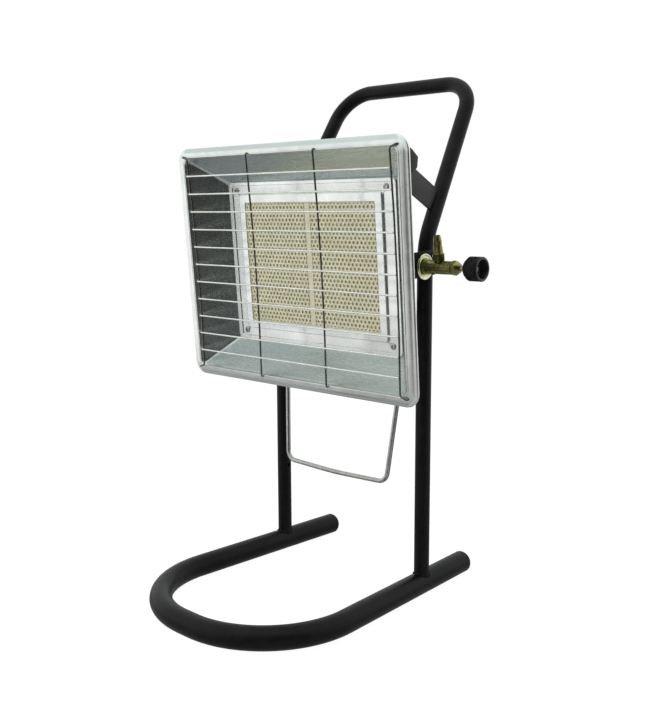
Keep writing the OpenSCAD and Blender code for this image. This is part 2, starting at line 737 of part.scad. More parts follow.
module right_knob_insert() color("#b08d3e") on_head() knob_insert();

module left_knob_insert() color("#b08d3e") on_head() mirror([1, 0, 0]) knob_insert();

// ---- gas valve ----

module at_valve() translate([0, valve_back, valve_up]) children();

// Foot on the pan, arm past the upright and the plate that holds the valve
module valve_bracket() color("#17181a") on_head() difference() {
    arm_y = pan_back;
    union() {
        translate([foot_x, arm_y, valve_up - foot_h / 2]) cube([foot_w, bracket_t, foot_h]);
        translate([foot_x, arm_y, plate_low]) cube([valve_x - foot_x, bracket_t, plate_side]);
        translate([plate_x, arm_y, plate_low]) cube([plate_t, valve_back + plate_rear - arm_y, plate_side]);
    }
    side_rod(plate_screw_y, plate_screw_z, plate_x - 1, valve_x + 1, plate_screw_d);
    at_valve() side_rod(0, 0, plate_x - 1, valve_x + 1, thread_d);
    for (z = [-1, 1])
        depth_rod(foot_x + foot_w / 2, valve_up + z * bracket_screw_z, arm_y - 1, arm_y + 4, rivet_d);
}

module bracket_rivets() color("#8f9394") on_head() for (z = [-1, 1]) {
    x = foot_x + foot_w / 2;
    depth_rod(x, valve_up + z * bracket_screw_z, pan_back, pan_back + bracket_t, rivet_d);
    depth_rod(x, valve_up + z * bracket_screw_z, pan_back + bracket_t,
        pan_back + bracket_t + rivet_head_t, rivet_head_d);
}

// Small screw near the plate's upper rear corner
module plate_screw() color("#c9cccc") on_head() {
    side_rod(plate_screw_y, plate_screw_z, plate_x, valve_x, plate_screw_d);
    side_rod(plate_screw_y, plate_screw_z, valve_x, valve_x + 1.2, 2 * plate_screw_d - 0.8);
}

// Jet holder: its thread passes through the plate and joins it to the valve
module injector() color("#a68a45") on_head() at_valve() difference() {
    union() {
        side_rod(0, 0, plate_x - 6, plate_x, jet_shoulder_d);
        side_rod(0, 0, mix_start - 4, plate_x - 6, 10);
        side_rod(0, 0, mix_start - 9, mix_start - 4, 7);
        side_rod(0, 0, plate_x, shoulder_x + shoulder_len + 4, thread_d);
    }
    side_rod(0, 0, mix_start - 10, mix_start - 6, 1);
    side_rod(0, 0, mix_start - 6, shoulder_x + shoulder_len + 5, 4);
}

// Dished washer between the plate and the valve's shoulder
module seat_washer() color("#b39a58") on_head() at_valve() difference() {
    side_rod(0, 0, valve_x, valve_x + seat_t, seat_d);
    translate([valve_x + seat_t / 2, 0, 0]) rotate([0, 90, 0]) difference() {
        cylinder(h = seat_t, d = seat_d - 4);
        translate([0, 0, -1]) cylinder(h = seat_t + 2, d = seat_hub_d);
    }
    side_rod(0, 0, valve_x - 1, valve_x + seat_t + 1, thread_d);
}

module valve_body() color("#8f7c3c") on_head() at_valve() difference() {
    union() {
        side_rod(0, 0, shoulder_x, shoulder_x + shoulder_len, shoulder_d);
        side_rod(0, 0, shoulder_x, gland_x, valve_d);
    }
    side_rod(0, 0, shoulder_x - 1, shoulder_x + shoulder_len + 4, thread_d);
    side_rod(0, 0, shoulder_x, gland_x - 12, 4);
    side_rod(0, 0, gland_x - 14, gland_x + 1, spindle_d + 2 * run_fit);
    rotate([inlet_lean, 0, 0]) translate([nipple_x, 0, 0]) {
        cylinder(h = valve_d, d = 4);
        translate([0, 0, valve_d / 2 - 3]) cylinder(h = valve_d, d = 8);
    }
}

// Hose nipple: hexagon, three barbs that narrow towards the tip, and a plain nose
module hose_nipple() color("#8f7c3c") on_head() at_valve() rotate([inlet_lean, 0, 0])
    translate([nipple_x, 0, 0]) difference() {
        base = valve_d / 2 - 3;
        barbs = base + 3.3 + inlet_hex_h;
        nose = barbs + 3 * barb_pitch;
        union() {
            translate([0, 0, base]) cylinder(h = 4, d = 8);
            translate([0, 0, base + 3.3]) cylinder(h = inlet_hex_h, d = inlet_hex_d, $fn = 6);
            for (i = [0 : 2])
                translate([0, 0, barbs + i * barb_pitch])
                    cylinder(h = barb_pitch, r1 = hose_land_r + 1 - 0.25 * i, r2 = hose_land_r);
            translate([0, 0, nose]) cylinder(h = inlet_len - nose - nose_taper, r = hose_land_r);
            translate([0, 0, inlet_len - nose_taper])
                cylinder(h = nose_taper, r1 = hose_land_r, r2 = hose_land_r - 1);
        }
        translate([0, 0, base - 1]) cylinder(h = inlet_len, d = 4);
    }

module gland_nut() color("#a68a45") on_head() at_valve() difference() {
    intersection() {
        translate([gland_x, 0, 0]) rotate([0, 90, 0]) cylinder(h = gland_len, d = gland_d, $fn = 6);
        union() {
            side_rod(0, 0, gland_x, gland_x + gland_len - gland_cone, gland_d);
            translate([gland_x + gland_len - gland_cone, 0, 0]) rotate([0, 90, 0])
                cylinder(h = gland_cone, d1 = gland_d, d2 = gland_tip_d);
        }
    }
    side_rod(0, 0, gland_x - 1, gland_x + gland_len + 1, spindle_d + 2 * run_fit);
}

module valve_spindle() color("#b9a05c") on_head() at_valve() difference() {
    side_rod(0, 0, gland_x - 10, screw_seat_x - 2, spindle_d);
    side_rod(0, 0, screw_seat_x - 10, screw_seat_x, 2);
}

// Round knob with a domed inner end and a deep cup in its outer face
module gas_knob() color("#1b1c1d") on_head() at_valve() difference() {
    dome_r = knob_d / 2 - 5.6;
    translate([knob_x, 0, 0]) rotate([0, 90, 0]) {
        translate([0, 0, dome_r]) cylinder(h = knob_len - dome_r - 1, d = knob_d);
        translate([0, 0, knob_len - 1]) cylinder(h = 1, d1 = knob_d, d2 = knob_d - 1.2);
        cylinder(h = dome_r + 1, d = 12);
        rotate_extrude() intersection() {
            translate([knob_d / 2 - dome_r, dome_r]) circle(dome_r);
            square([knob_d / 2, dome_r]);
        }
    }
    side_rod(0, 0, screw_seat_x, knob_end + 1, recess_d);
    side_rod(0, 0, knob_x - 1, screw_seat_x - 2, spindle_d);
    side_rod(0, 0, screw_seat_x - 3, screw_seat_x + 1, 2);
}

module knob_screw() color("#8f9394") on_head() at_valve() {
    side_rod(0, 0, screw_seat_x - 9, screw_seat_x, 2);
    side_rod(0, 0, screw_seat_x, screw_seat_x + 1.6, 6);
}

// ---- bail ----

module bail_lug() difference() {
    union() {
        translate([lug_x - lug_foot, pan_back, -bail_down - lug_h / 2]) cube([lug_foot, lug_foot_t, lug_h]);
        translate([lug_x - lug_t, pan_back, -bail_down - lug_h / 2]) cube([lug_t, lug_end - pan_back, lug_h]);
    }
    side_rod(bail_back, -bail_down, lug_x - lug_t - 1, lug_x + 1, bail_d + 2 * run_fit);
    depth_rod(lug_rivet_x, -bail_down, pan_back - 1, pan_back + lug_foot_t + 1, rivet_d);
}

module bail_lugs() color("#303233") on_head() both_sides() bail_lug();

module lug_rivets() color("#8f9394") on_head() both_sides() {
    depth_rod(lug_rivet_x, -bail_down, pan_back, pan_back + lug_foot_t, rivet_d);
    depth_rod(lug_rivet_x, -bail_down, pan_back + lug_foot_t,
        pan_back + lug_foot_t + rivet_head_t, rivet_head_d);
}

module bail() color("#a9acab") in_frame() {
    top = [bail_top_w / 2, bail_pivot_y, bail_pivot_z];
    low = [bail_bottom_w / 2, bail_bar_y, bail_bar_z];
    end = [bail_end_x, bail_pivot_y, bail_pivot_z];
    bow = [0, bail_bar_y, bail_bar_z - bail_bow];
    bar_path([end, top, low, bow, flip(low), flip(top), flip(end)],
        [0, bail_hook_r, bail_corner_r, bail_bow_r, bail_corner_r, bail_hook_r, 0], bail_d);
}

base_tube();
end_plugs();
upright_tube();
left_strap();
right_strap();
reflector();
guard_uprights();
guard_crosswires();
bezel();
bezel_screws();
bezel_nuts();
left_plaque();
right_plaque();
plaque_gasket();
burner_pan();
baffle_plate();
mixing_tube();
left_ear();
right_ear();
ear_rivets();
pivot_bolts();
friction_washers();
knob_washers();
left_clamp_knob();
right_clamp_knob();
left_knob_insert();
right_knob_insert();
valve_bracket();
bracket_rivets();
plate_screw();
injector();
seat_washer();
valve_body();
hose_nipple();
gland_nut();
valve_spindle();
gas_knob();
knob_screw();
bail_lugs();
lug_rivets();
bail();
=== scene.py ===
import bmesh, bpy, json, math
from mathutils import Matrix, Vector

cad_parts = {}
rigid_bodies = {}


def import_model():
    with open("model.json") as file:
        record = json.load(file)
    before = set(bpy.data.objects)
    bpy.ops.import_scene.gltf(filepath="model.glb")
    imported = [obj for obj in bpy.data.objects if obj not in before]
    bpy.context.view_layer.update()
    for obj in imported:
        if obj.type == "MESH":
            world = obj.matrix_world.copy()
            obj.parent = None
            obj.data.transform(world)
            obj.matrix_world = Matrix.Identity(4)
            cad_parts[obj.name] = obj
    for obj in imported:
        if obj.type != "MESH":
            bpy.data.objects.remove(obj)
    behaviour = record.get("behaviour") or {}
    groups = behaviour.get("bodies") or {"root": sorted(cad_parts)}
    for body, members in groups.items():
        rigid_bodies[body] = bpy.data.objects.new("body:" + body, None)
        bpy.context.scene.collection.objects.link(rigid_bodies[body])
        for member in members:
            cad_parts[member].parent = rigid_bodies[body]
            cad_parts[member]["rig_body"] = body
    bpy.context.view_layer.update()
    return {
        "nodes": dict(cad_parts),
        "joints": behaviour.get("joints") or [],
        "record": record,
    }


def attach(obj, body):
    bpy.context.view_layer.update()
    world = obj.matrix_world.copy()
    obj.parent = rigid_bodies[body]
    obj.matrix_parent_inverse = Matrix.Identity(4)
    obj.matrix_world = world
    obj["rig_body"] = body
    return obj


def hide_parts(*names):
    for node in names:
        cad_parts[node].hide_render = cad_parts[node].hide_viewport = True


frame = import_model()
nodes = frame["nodes"]
print("frame loaded:", len(nodes), "nodes")

# The head's own axes in millimetres: x towards the valve, y behind the rim, z up, from the rim's middle
headSeat = {"pivotBack": 64.9, "pivotUp": 106.4, "lean": 4.5}
tiltJoint = next(j for j in frame["joints"] if j["name"] == "head_tilt")
headPlace = (Matrix.Translation(tiltJoint["pos_m"]) @ Matrix.Rotation(math.radians(headSeat["lean"]), 4, "X")
             @ Matrix.Scale(0.001, 4) @ Matrix.Translation((0, -headSeat["pivotBack"], -headSeat["pivotUp"])))
toHead = headPlace.inverted()
turnToHead = toHead.to_3x3()


def spanOf(name):
    # Lowest and highest corner of a CAD node in the head's axes
    points = [toHead @ v.co for v in nodes[name].data.vertices]
    return [Vector(f(p[k] for p in points) for k in range(3)) for f in (min, max)]


def axisSeat(name):
    # Start of a CAD node that turns about the head's x, with z along it, and how long the node is
    lo, hi = spanOf(name)
    middle = Matrix.Translation((lo.x, (lo.y + hi.y) / 2, (lo.z + hi.z) / 2))
    return headPlace @ middle @ Matrix.Rotation(math.radians(90), 4, "Y"), hi.x - lo.x


def addNode(tree, kind, links=None, **settings):
    n = tree.nodes.new(kind)
    for key, value in settings.items():
        setattr(n, key, value)
    for key, value in (links or {}).items():
        if isinstance(value, bpy.types.NodeSocket):
            tree.links.new(value, n.inputs[key])
        else:
            n.inputs[key].default_value = value
    return n


def calc(tree, operation, a, b=0.0, c=0.0):
    links = {0: a, 1: b, 2: c} if operation == "MULTIPLY_ADD" else {0: a, 1: b}
    return addNode(tree, "ShaderNodeMath", links, operation=operation).outputs[0]


def times(tree, a, b):
    return calc(tree, "MULTIPLY", a, b)


def vector(tree, x=0.0, y=0.0, z=0.0):
    return addNode(tree, "ShaderNodeCombineXYZ", {0: x, 1: y, 2: z}).outputs[0]


def moved(tree, geometry, **change):
    return addNode(tree, "GeometryNodeTransform", {"Geometry": geometry, **change}).outputs[0]


def ranged(tree, value, fromMin, fromMax, toMin=0.0, toMax=1.0, **settings):
    links = {"Value": value, "From Min": fromMin, "From Max": fromMax, "To Min": toMin, "To Max": toMax}
    return addNode(tree, "ShaderNodeMapRange", links, **settings).outputs[0]


def noise(tree, place, scale, detail, roughness=.5):
    links = {"Vector": place, "Scale": scale, "Detail": detail, "Roughness": roughness}
    return addNode(tree, "ShaderNodeTexNoise", links).outputs["Fac"]


def ruleTree(name, **sizes):
    # A geometry tree with one named input for each size and each material
    tree = bpy.data.node_groups.new(name, "GeometryNodeTree")
    tree.interface.new_socket("Geometry", in_out="OUTPUT", socket_type="NodeSocketGeometry")
    tree.interface.new_socket("Seed Geometry", in_out="INPUT", socket_type="NodeSocketGeometry")
    for label, value in sizes.items():
        kind = {bpy.types.Material: "Material", int: "Int"}.get(type(value), "Float")
        socket = tree.interface.new_socket(label, in_out="INPUT", socket_type="NodeSocket" + kind)
        socket.default_value = value
    return tree, tree.nodes.new("NodeGroupInput").outputs


def closeTree(tree, geometry, *finishes):
    # Ends a tree in Realize Instances and Set Material; finishes are (material, selection) pairs
    out = addNode(tree, "GeometryNodeRealizeInstances", {0: geometry}).outputs[0]
    for material, selection in finishes:
        links = {"Geometry": out, "Material": material}
        if selection is not None:
            links["Selection"] = selection
        out = addNode(tree, "GeometryNodeSetMaterial", links).outputs[0]
    addNode(tree, "NodeGroupOutput", {0: out})


def lattice(tree, columns, rows):
    # Row and column number of each point of a grid, and the points' count
    i = addNode(tree, "GeometryNodeInputIndex").outputs[0]
    row = calc(tree, "FLOOR", calc(tree, "DIVIDE", calc(tree, "ADD", i, .5), columns))
    column = calc(tree, "SUBTRACT", i, times(tree, row, columns))
    shift = times(tree, calc(tree, "MODULO", row, 2.0), .5)     # every other row is half a step on
    return row, calc(tree, "ADD", column, shift), times(tree, columns, rows)


def placedOn(tree, count, place, shape, **change):
    dots = addNode(tree, "GeometryNodePoints", {"Count": count, "Position": place}).outputs[0]
    links = {"Points": dots, "Instance": shape, **change}
    return addNode(tree, "GeometryNodeInstanceOnPoints", links).outputs[0]


def randomVector(tree, low, high, seed):
    links = {"Min": low, "Max": high, "Seed": seed}
    return addNode(tree, "FunctionNodeRandomValue", links, data_type="FLOAT_VECTOR").outputs[0]


def growPiece(tree, name, sizes, place, seedPoints=(), sharpAngle=38):
    # Runs a geometry tree on the seed points with these sizes and keeps its result as a plain mesh
    seedMesh = bpy.data.meshes.new(name + "Seed")
    seedMesh.from_pydata([Vector(p) for p in seedPoints], [], [])
    seed = bpy.data.objects.new(name + "Seed", seedMesh)
    bpy.context.scene.collection.objects.link(seed)
    rule = seed.modifiers.new("rule", "NODES")
    rule.node_group = tree
    for item in tree.interface.items_tree:
        if item.in_out == "INPUT" and item.name in sizes:
            rule[item.identifier] = sizes[item.name]
    seed.update_tag()
    mesh = bpy.data.meshes.new_from_object(seed.evaluated_get(bpy.context.evaluated_depsgraph_get()))
    seed.modifiers.remove(rule)
    bpy.data.objects.remove(seed)
    mesh.name = name
    mesh.transform(place)
    return showPiece(mesh, name, sharpAngle)


def showPiece(mesh, name, sharpAngle=38):
    piece = bpy.data.objects.new(name, mesh)
    bpy.context.scene.collection.objects.link(piece)
    mesh.polygons.foreach_set("use_smooth", [True] * len(mesh.polygons))
    mesh.set_sharp_from_angle(angle=math.radians(sharpAngle))
    mesh.update()
    return piece


def closedPiece(name, points, faces, place, *finishes, sharpAngle=38):
    # A closed mesh from points and faces, its doubles merged and its faces turned outwards
    b = bmesh.new()
    corners = [b.verts.new(place @ Vector(p)) for p in points]
    for f in faces:
        b.faces.new([corners[i] for i in f])
    bmesh.ops.remove_doubles(b, verts=b.verts, dist=1e-7)
    bmesh.ops.recalc_face_normals(b, faces=b.faces)
    if b.calc_volume(signed=True) < 0:
        bmesh.ops.reverse_faces(b, faces=b.faces)
    mesh = bpy.data.meshes.new(name)
    b.to_mesh(mesh)
    b.free()
    for material in finishes:
        mesh.materials.append(material)
    return showPiece(mesh, name, sharpAngle)


def takePlace(nodeName, body, *pieces):
    for piece in pieces:
        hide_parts(nodeName)
        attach(piece, body)


def softEdged(name, width, material):
    # A copy of a CAD node with its sharp edges rounded, which stands for the node
    b = bmesh.new()
    b.from_mesh(nodes[name].data)
    bmesh.ops.remove_doubles(b, verts=b.verts, dist=2e-6)
    bmesh.ops.dissolve_limit(b, angle_limit=math.radians(1), verts=b.verts, edges=b.edges)
    sharp = [e for e in b.edges if len(e.link_faces) == 2 and e.calc_face_angle() > math.radians(28)]
    bmesh.ops.bevel(b, geom=sharp, offset=width, segments=2, profile=.5, affect="EDGES", clamp_overlap=True)
    bmesh.ops.recalc_face_normals(b, faces=b.faces)
    mesh = bpy.data.meshes.new(name + "Soft")
    b.to_mesh(mesh)
    b.free()
    mesh.materials.clear()
    mesh.materials.append(material)
    takePlace(name, nodes[name]["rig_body"], showPiece(mesh, name + "Soft", 30))


def shaderGroup(name, inputs, outputs):
    g = bpy.data.node_groups.new(name, "ShaderNodeTree")
    for label, kind, value in inputs:
        g.interface.new_socket(label, in_out="INPUT", socket_type="NodeSocket" + kind).default_value = value
    for label, kind in outputs:
        g.interface.new_socket(label, in_out="OUTPUT", socket_type="NodeSocket" + kind)
    return g, g.nodes.new("NodeGroupInput").outputs


def grainGroup():
    # Mottled colour and roughness with a fine bump, drawn out along any axis that Stretch makes small
    g, given = shaderGroup("surfaceGrain",
        (("Scale", "Float", 300), ("Stretch", "Vector", (1, 1, 1)), ("Dark", "Color", (0, 0, 0, 1)),
         ("Light", "Color", (1, 1, 1, 1)), ("Smooth", "Float", .3), ("Rough", "Float", .5),
         ("Fine Scale", "Float", 900), ("Bump", "Float", .1)),
        (("Colour", "Color"), ("Roughness", "Float"), ("Normal", "Vector")))
    place = addNode(g, "ShaderNodeTexCoord").outputs["Object"]
    drawn = addNode(g, "ShaderNodeMapping", {"Vector": place, "Scale": given["Stretch"]}).outputs[0]
    broad = noise(g, drawn, given["Scale"], 4.0, .6)
    fine = noise(g, drawn, given["Fine Scale"], 2.0)
    wide = ranged(g, broad, .32, .68)
    colour = addNode(g, "ShaderNodeMix", {"Factor": wide, 6: given["Dark"], 7: given["Light"]},
                     data_type="RGBA")
    mixed = calc(g, "MULTIPLY_ADD", fine, .5, times(g, broad, .5))
    rough = ranged(g, mixed, .3, .7, given["Smooth"], given["Rough"])
    normal = addNode(g, "ShaderNodeBump", {"Strength": given["Bump"], "Distance": .0004, "Height": fine})
    addNode(g, "NodeGroupOutput", {"Colour": colour.outputs[2], "Roughness": rough,
                                   "Normal": normal.outputs[0]})
    return g


def filmGroup():
    # A thin film, such as dust, tarnish or heat stain, that lies in soft patches over a colour
    g, given = shaderGroup("settledFilm",
        (("Base", "Color", (0, 0, 0, 1)), ("Film", "Color", (.5, .5, .5, 1)), ("Patch Scale", "Float", 20),
         ("Amount", "Float", .3), ("Upward", "Float", 0), ("Base Roughness", "Float", .4),
         ("Film Roughness", "Float", .8)),
        (("Colour", "Color"), ("Roughness", "Float")))
    space = addNode(g, "ShaderNodeTexCoord").outputs
    patch = ranged(g, noise(g, space["Object"], given["Patch Scale"], 6.0, .65), .4, .72)
    up = ranged(g, addNode(g, "ShaderNodeSeparateXYZ", {0: space["Normal"]}).outputs["Z"], .1, .95)
    level = calc(g, "MULTIPLY_ADD", given["Upward"], calc(g, "SUBTRACT", up, 1.0), 1.0)
    mask = times(g, times(g, patch, level), given["Amount"])
    colour = addNode(g, "ShaderNodeMix", {"Factor": mask, 6: given["Base"], 7: given["Film"]},
                     data_type="RGBA")
    rough = addNode(g, "ShaderNodeMix", {"Factor": mask, 2: given["Base Roughness"],
                                         3: given["Film Roughness"]})
    addNode(g, "NodeGroupOutput", {"Colour": colour.outputs[2], "Roughness": rough.outputs[0]})
    return g


surfaceGrain, settledFilm = grainGroup(), filmGroup()


def finishOf(name, dark, light, metal=0.0, smooth=.3, rough=.5, scale=300, stretch=(1, 1, 1), fine=900,
             bump=.1, film=None, filmAmount=.3, filmScale=20, filmUp=0.0, filmRough=.8, **fixed):
    m = bpy.data.materials.new(name)
    m.use_nodes = True
    t = m.node_tree
    shader = t.nodes["Principled BSDF"]
    grain = addNode(t, "ShaderNodeGroup", node_tree=surfaceGrain)
    given = {"Dark": (*dark, 1), "Light": (*light, 1), "Scale": scale, "Stretch": stretch, "Smooth": smooth,
             "Rough": rough, "Fine Scale": fine, "Bump": bump}
    for key, value in given.items():
        grain.inputs[key].default_value = value
    colour, roughness = grain.outputs["Colour"], grain.outputs["Roughness"]
    if film:
        over = addNode(t, "ShaderNodeGroup", node_tree=settledFilm)
        given = {"Film": (*film, 1), "Amount": filmAmount, "Patch Scale": filmScale, "Upward": filmUp,
                 "Film Roughness": filmRough}
        for key, value in given.items():
            over.inputs[key].default_value = value
        t.links.new(colour, over.inputs["Base"])
        t.links.new(roughness, over.inputs["Base Roughness"])
        colour, roughness = over.outputs["Colour"], over.outputs["Roughness"]
    for out, key in ((colour, "Base Color"), (roughness, "Roughness"), (grain.outputs["Normal"], "Normal")):
        t.links.new(out, shader.inputs[key])
    shader.inputs["Metallic"].default_value = metal
    for key, value in fixed.items():
        shader.inputs[key.replace("_", " ")].default_value = value
    m.diffuse_color = (*light, 1)
    return m


blackCoat = finishOf("blackCoat", (.0025, .0025, .0025), (.006, .006, .006), smooth=.3, rough=.48, scale=60,
                     fine=1100, bump=.4, film=(.04, .04, .037), filmAmount=.12, filmScale=14, filmUp=.8,
                     Specular_IOR_Level=.15)
# The straps' coat is the black coat made lighter: the lighter tone is painted light, for the light their flat
# outer sides catch
strapLitCoat = finishOf("strapLitCoat", (.022, .023, .022), (.030, .031, .030), smooth=.42, rough=.56, scale=90,
                     fine=1300, bump=.2, film=(.07, .07, .065), filmAmount=.15, filmScale=30,
                     Specular_IOR_Level=.4)
plateCoat = finishOf("plateCoat", (.004, .004, .004), (.008, .008, .008), smooth=.4, rough=.56, scale=90,
                     fine=1300, bump=.16, Specular_IOR_Level=.12)
plugPlastic = finishOf("plugPlastic", (.008, .008, .008), (.012, .012, .012), smooth=.38, rough=.5,
                       scale=120, fine=1500, bump=.1, film=(.06, .06, .055), filmAmount=.2, filmScale=40,
                       filmUp=.7, Specular_IOR_Level=.3)
galvSheet = finishOf("galvSheet", (.80, .825, .80), (.92, .935, .91), metal=1.0, smooth=.24, rough=.36,
                     scale=95, fine=800, bump=.04, film=(.45, .46, .44), filmAmount=.3, filmScale=38,
                     filmRough=.5)
dishSheet = finishOf("dishSheet", (.585, .64, .635), (.70, .757, .75), metal=1.0, smooth=.2, rough=.32,
                     scale=30, stretch=(.15, 1.4, 1.4), fine=260, bump=.004, film=(.48, .51, .50),
                     filmAmount=.2, filmScale=9, filmRough=.36)
bezelSheet = finishOf("bezelSheet", (.82, .85, .84), (.94, .96, .95), metal=1.0, smooth=.16, rough=.26,
                      scale=120, fine=800, bump=.04, film=(.58, .56, .51), filmAmount=.3, filmScale=30,
                      filmRough=.6)
panSheet = finishOf("panSheet", (.36, .37, .38), (.50, .51, .52), metal=1.0, smooth=.3, rough=.5, scale=90,
                    fine=700, bump=.08, film=(.22, .21, .19), filmAmount=.4, filmScale=24, filmUp=.5)
crossWire = finishOf("crossWire", (.84, .85, .81), (.95, .96, .92), metal=1.0, smooth=.18, rough=.3,
                     scale=400, fine=1200, bump=.05, film=(.44, .43, .38), filmAmount=.3, filmScale=60,
                     filmRough=.6)
# The uprights' wire is dulled drawn wire, and its very dark tone is also painted shade, for the dark side of
# the room they mirror
dullShadedWire = finishOf("dullShadedWire", (.14, .138, .125), (.22, .216, .20), metal=1.0, smooth=.14, rough=.28,
                    scale=400, fine=1200, bump=.05, film=(.03, .028, .02), filmAmount=.4, filmScale=60,
                    filmRough=.6)
bailWire = finishOf("bailWire", (.42, .43, .41), (.60, .61, .58), metal=1.0, smooth=.18, rough=.34,
                    scale=220, fine=1000, bump=.06, film=(.22, .21, .18), filmAmount=.3, filmScale=50,
                    filmRough=.55)
zincPlate = finishOf("zincPlate", (.45, .46, .47), (.62, .63, .64), metal=1.0, smooth=.25, rough=.42,
                     scale=300, fine=1400, bump=.06, film=(.25, .24, .22), filmAmount=.3, filmScale=90)
ceramicBisque = finishOf("ceramicBisque", (.62, .60, .45), (.74, .715, .55), smooth=.75, rough=.9, scale=110,
                         fine=1600, bump=.12, film=(.56, .54, .36), filmAmount=.5, filmScale=22,
                         Specular_IOR_Level=.3)
# The dimples and holes get a darker copy of the bisque: painted shade in the recesses
ceramicHoleShade = finishOf("ceramicHoleShade", (.42, .40, .25), (.56, .54, .37), smooth=.8, rough=.95, scale=300,
                       fine=1600, bump=.05, Specular_IOR_Level=.2)
fibreSheet = finishOf("fibreSheet", (.62, .60, .54), (.75, .73, .68), smooth=.85, rough=1.0, scale=260,
                      fine=1500, bump=.3)
brassTurned = finishOf("brassTurned", (.22, .20, .055), (.44, .42, .17), metal=1.0, smooth=.14, rough=.32,
                       scale=350, fine=1500, bump=.08, film=(.07, .06, .02), filmAmount=.6, filmScale=110,
                       filmRough=.6)
brassWasher = finishOf("brassWasher", (.66, .67, .46), (.84, .85, .64), metal=1.0, smooth=.14, rough=.26,
                       scale=260, fine=1500, bump=.05, film=(.30, .29, .15), filmAmount=.35, filmScale=90,
                       filmRough=.5)
brassSpindle = finishOf("brassSpindle", (.40, .37, .20), (.58, .55, .34), metal=1.0, smooth=.18, rough=.34,
                        scale=350, fine=1500, bump=.05)
knobPlastic = finishOf("knobPlastic", (.004, .004, .004), (.009, .009, .009), smooth=.32, rough=.52,
                       scale=200, fine=1800, bump=.14, film=(.05, .05, .047), filmAmount=.18, filmScale=70,
                       Specular_IOR_Level=.3)
# The knob's outer face ring is the knob plastic made lighter: painted highlight where the face catches the
# light
knobFaceLit = finishOf("knobFaceLit", (.034, .035, .034), (.050, .051, .050), smooth=.4, rough=.55, scale=200,
                    fine=1800, bump=.14, Specular_IOR_Level=.35)
washerFibre = finishOf("washerFibre", (.16, .08, .045), (.23, .13, .08), smooth=.6, rough=.8, scale=300,
                       fine=1500, bump=.15)
weldSteel = finishOf("weldSteel", (.10, .095, .085), (.22, .21, .19), metal=1.0, smooth=.35, rough=.6,
                     scale=500, fine=1500, bump=.15)

nodeFinishes = {
    blackCoat: ("base_tube", "upright_tube"),
    plugPlastic: ("end_plugs",),
    strapLitCoat: ("left_strap", "right_strap"),
    galvSheet: ("reflector",),
    dullShadedWire: ("guard_uprights",),
    crossWire: ("guard_crosswires",),
    bezelSheet: ("bezel",),
    ceramicBisque: ("left_plaque", "right_plaque"),
    fibreSheet: ("plaque_gasket",),
    panSheet: ("burner_pan", "baffle_plate", "mixing_tube"),
    plateCoat: ("left_ear", "right_ear", "valve_bracket", "bail_lugs"),
    washerFibre: ("friction_washers",),
    knobPlastic: ("left_clamp_knob", "right_clamp_knob", "gas_knob"),
    brassTurned: ("left_knob_insert", "right_knob_insert", "injector", "valve_body", "hose_nipple",
                  "gland_nut"),
    brassWasher: ("seat_washer",),
    brassSpindle: ("valve_spindle",),
    bailWire: ("bail",),
    zincPlate: ("bezel_screws", "bezel_nuts", "ear_rivets", "pivot_bolts", "knob_washers", "bracket_rivets",
                "plate_screw", "knob_screw", "lug_rivets")}
for material, names in nodeFinishes.items():
    for name in names:
        for s in nodes[name].material_slots:
            s.link = "OBJECT"
            s.material = material
print("finishes given")


def roundedLoop(hx, hz, r, y, steps):
    # Points of a rounded rectangle of half sizes hx and hz at depth y
    out = []
    for k, (sx, sz) in enumerate(((1, 1), (-1, 1), (-1, -1), (1, -1))):
        for i in range(steps + 1):
            a = math.pi / 2 * (k + i / steps)
            out.append((sx * (hx - r) + r * math.cos(a), y, sz * (hz - r) + r * math.sin(a)))
    return out


def ringFaces(loops):
    # Faces between equal closed loops, the last joined to the first
    n = len(loops[0])
    points = [p for loop in loops for p in loop]
    faces = []
    for k in range(len(loops)):
        a, b = k * n, (k + 1) % len(loops) * n
        faces += [(a + i, a + (i + 1) % n, b + (i + 1) % n, b + i) for i in range(n)]
    return points, faces


dish = {"beadR": 1.7, "bandX": 12.6, "bandZ": 10.6, "sheet": 1.2, "bandFront": -1.5, "depth": 38.7,
        "floorHalf": (125.2, 91.8), "pocketHalf": (100.2, 71.1), "rimCornerR": 16, "openingR": 9,
        "creaseR": 3, "floorCornerR": 5.6, "bandTilt": .3, "slopeW": 2.6, "edgeDrop": 1.4, "lipRise": .45,
        "cornerSteps": 10, "edgeSteps": (-30, -6, 18, 42, 66, 90), "lipBack": (2.4, 2.0, 1.7, 1.4, .9, .3, 0)}


